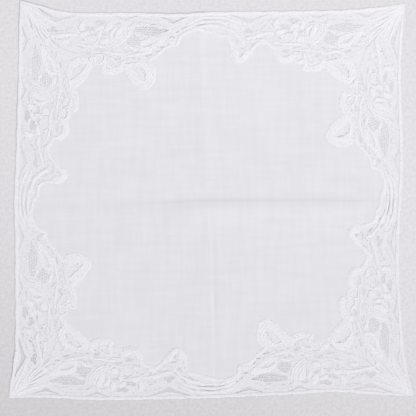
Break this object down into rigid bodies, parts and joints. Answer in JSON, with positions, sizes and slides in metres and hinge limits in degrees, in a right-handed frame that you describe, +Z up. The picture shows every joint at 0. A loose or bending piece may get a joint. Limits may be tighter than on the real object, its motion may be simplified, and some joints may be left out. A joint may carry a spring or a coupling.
{
  "type": "lace handkerchief",
  "caption": "Square white handkerchief lying open: a sheer lawn centre with soft fold lines, framed by a wide, scalloped border of floral cutwork lace joined at the corners.",
  "frame": {"origin": "middle of the bounding box's underside, on the surface that the cloth lies on", "axes": "+Z up out of the cloth; +Y towards the side that the picture shows at the top; +X towards the side that it shows at the right"},
  "size_m": [0.3078, 0.3037, 0.0023],
  "materials": {
    "lawn": "thin, slightly sheer plain-woven cotton, matt, with faint slubs both ways",
    "lace": "matt white cotton lace: dense clothwork, outlining cords and open net"
  },
  "bodies": {
    "root": {"centre_cloth": "lawn", "lace_left": "lace", "lace_bottom": "lace", "lace_right": "lace", "lace_top": "lace"}
  },
  "joints": []
}
